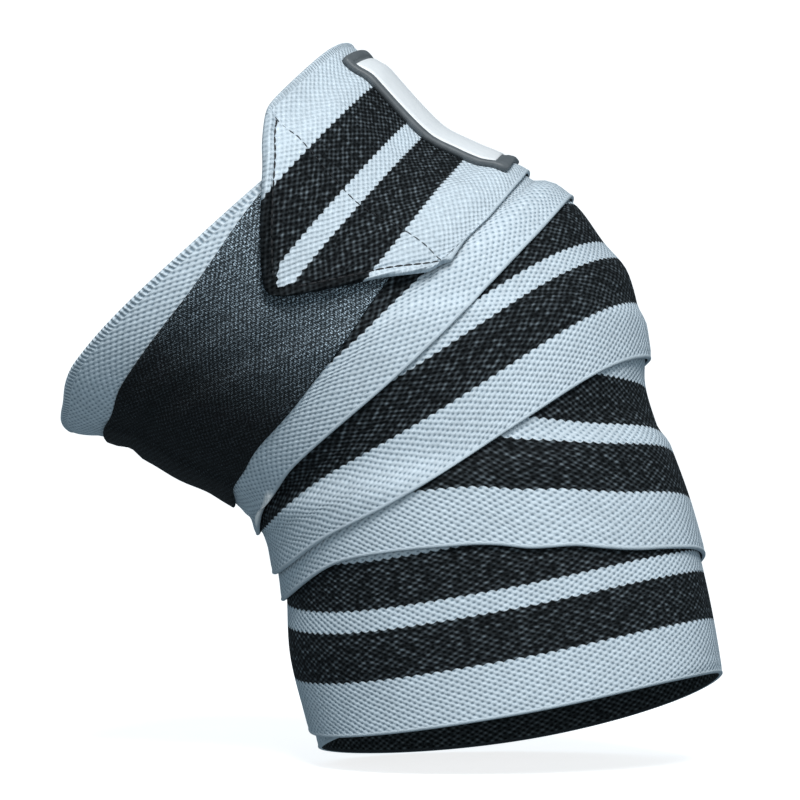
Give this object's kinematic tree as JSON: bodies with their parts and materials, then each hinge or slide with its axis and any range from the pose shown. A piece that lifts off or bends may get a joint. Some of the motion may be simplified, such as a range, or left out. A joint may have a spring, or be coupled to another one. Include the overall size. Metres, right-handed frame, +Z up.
{
  "type": "knee wrap",
  "caption": "Striped elastic knee wrap wound round a bent knee in overlapping turns, with a brushed loop panel and a pointed hook-backed flap that fastens on it.",
  "frame": {"origin": "centre of the knee that the wrap is wound on, on the leg's middle plane", "axes": "+X to the front of the knee, +Y to the inner side of the leg, +Z up"},
  "size_m": [0.2239, 0.1571, 0.2434],
  "materials": {
    "elastic_weave": "coarse woven elastic, pale blue-grey stripes on black, colours swapped on the reverse",
    "loop_fabric": "fine brushed loop fabric, charcoal, with small bright fibres",
    "hook_tape": "matt hook tape",
    "label_rubber": "moulded soft rubber with a raised border, bare"
  },
  "bodies": {
    "root": {"band": "elastic_weave", "loop_panel": "loop_fabric", "hook_patch": "hook_tape", "label_patch": "label_rubber"}
  },
  "joints": []
}
